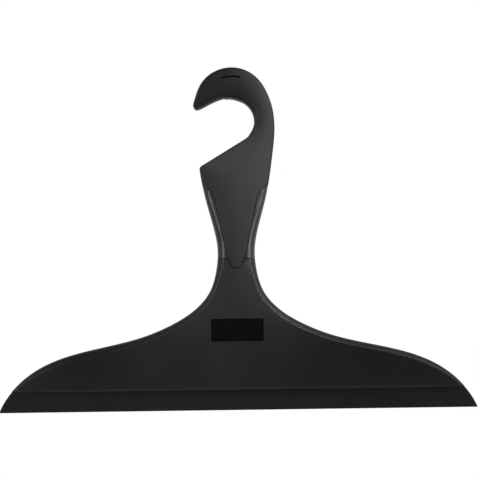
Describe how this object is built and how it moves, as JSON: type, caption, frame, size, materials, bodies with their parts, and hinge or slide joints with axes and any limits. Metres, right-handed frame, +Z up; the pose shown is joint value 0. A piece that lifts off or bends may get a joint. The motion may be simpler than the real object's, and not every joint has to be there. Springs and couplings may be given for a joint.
{
  "type": "window cleaning squeegee",
  "caption": "Hanger-shaped hand squeegee with an open hook over a waisted grip and a rubber wiping lip along its wide, thin head.",
  "frame": {"origin": "on the axis of the rod that the hook hangs from, midway between the front and rear faces", "axes": "+X to the right along the wiping edge seen from the front, +Z up, the front faces -Y and the rod runs along Y"},
  "size_m": [0.28, 0.018, 0.1999],
  "materials": {
    "handle_plastic": "fine matte moulded black",
    "head_plastic": "spark-eroded grain, black",
    "grip_elastomer": "satin soft-touch black",
    "pad_elastomer": "smooth satin dark grey",
    "blade_rubber": "satin black with faint extrusion lines",
    "badge_gloss": "polished black",
    "screw_steel": "stainless, cross recess"
  },
  "bodies": {
    "frame": {"handle_front_shell": "handle_plastic", "handle_rear_shell": "handle_plastic", "grip_left": "grip_elastomer", "grip_right": "grip_elastomer", "hook_pad": "pad_elastomer", "head_front_shell": "head_plastic", "head_rear_shell": "head_plastic", "badge_plate": "badge_gloss", "blade_root": "blade_rubber", "head_screws": "screw_steel", "handle_screws": "screw_steel"},
    "lip": {"blade_lip": "blade_rubber"}
  },
  "joints": [
    {"name": "lip_flex", "type": "hinge", "parent": "frame", "child": "lip", "pos_m": [0, 0, -0.1554], "axis": [1, 0, 0], "range_deg": [-25, 25], "stiffness_Nm_per_rad": 0.25}
  ]
}
